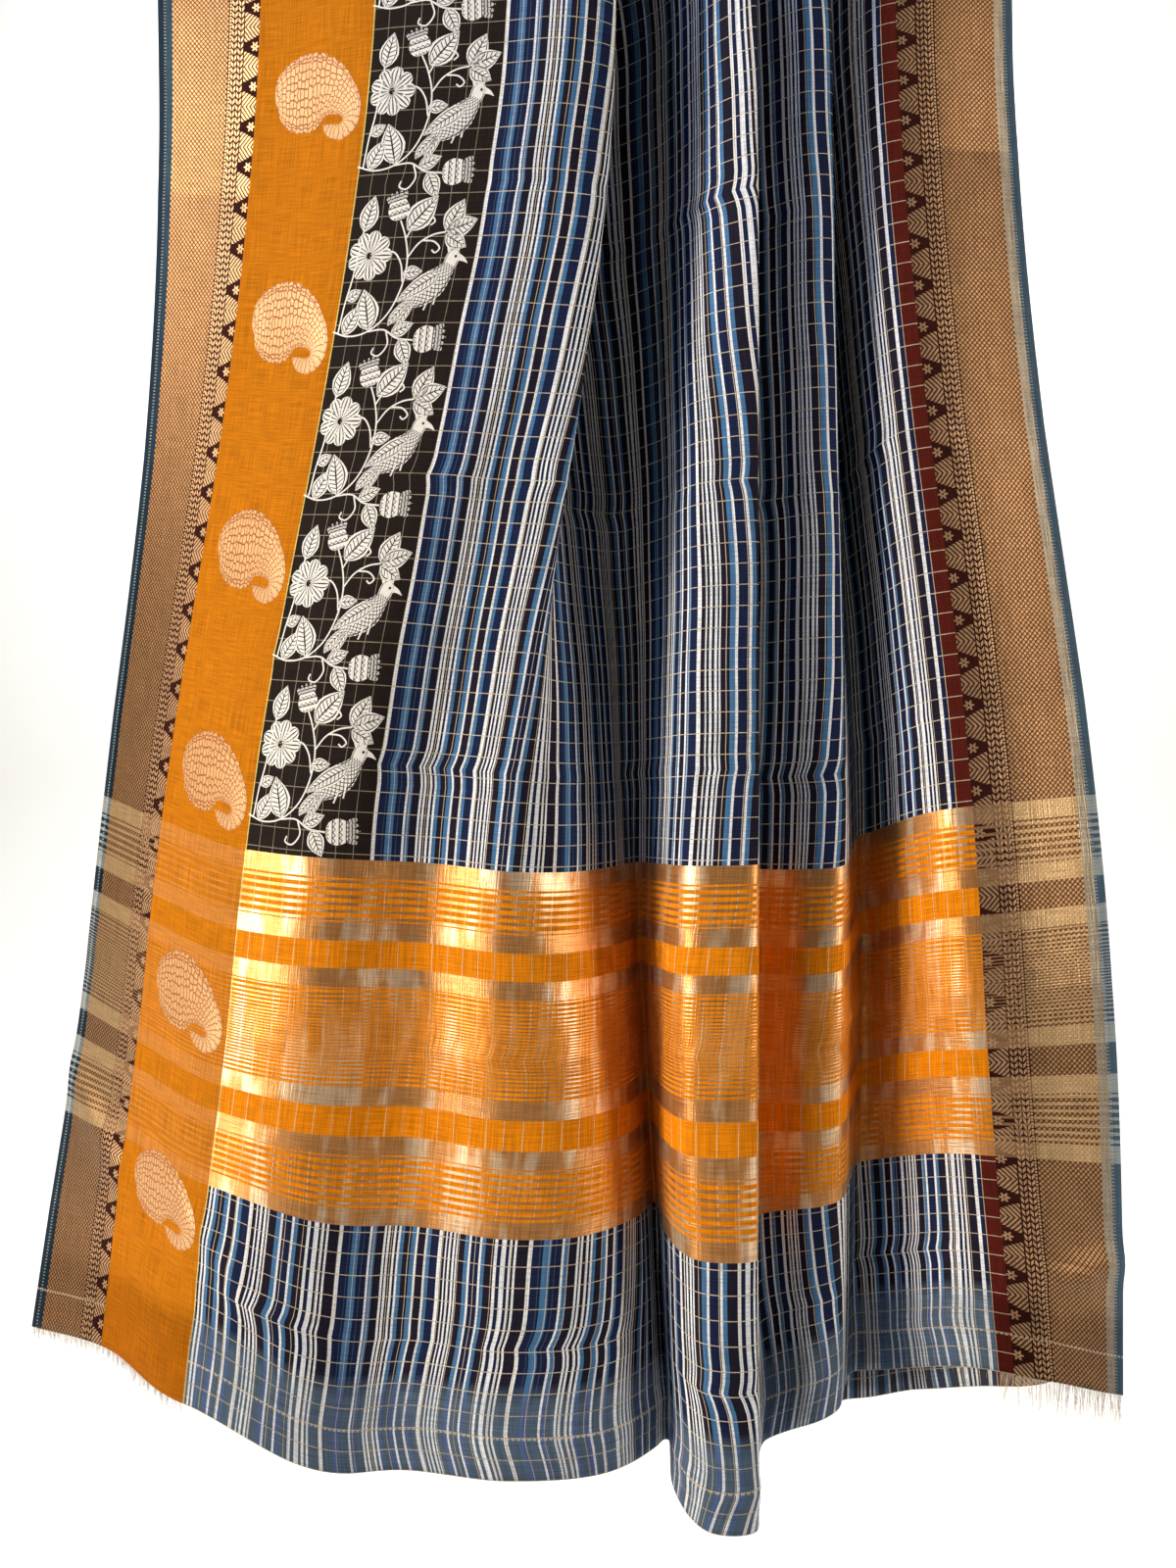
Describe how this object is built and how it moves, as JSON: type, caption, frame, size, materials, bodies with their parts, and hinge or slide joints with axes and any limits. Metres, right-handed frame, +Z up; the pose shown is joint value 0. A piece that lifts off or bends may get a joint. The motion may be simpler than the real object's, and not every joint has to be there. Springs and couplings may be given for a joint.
{
  "type": "saree",
  "caption": "Woven saree folded in half and hung by its middle, gathered into deep pleats, with brocade borders, a decorated end band and frayed ends.",
  "frame": {"origin": "on top of the place for the rail, under the middle of the fold, halfway between the two edges of the gathered cloth", "axes": "+Z up, +X along the rail to the viewer's right, -Y towards the viewer, out of the decorated side"},
  "size_m": [0.9022, 0.2607, 1.436],
  "materials": {
    "striped_cotton": "fine woven cotton, printed blue and white stripes with gold thread checks, soft sheen",
    "plain_end": "the same cloth seen on its paler wrong side",
    "body_cloth": "fine woven cotton, printed blue and white stripes with gold thread checks, soft sheen",
    "inner_cloth": "the same cloth seen on its paler wrong side",
    "frayed_ends": "loose pale warp threads"
  },
  "bodies": {
    "root": {"pallu_front_fall": "striped_cotton", "plain_end_fall": "plain_end", "back_outer_fall": "body_cloth", "back_inner_fall": "inner_cloth", "fringe_left_border": "frayed_ends", "fringe_right_border": "frayed_ends"}
  },
  "joints": []
}
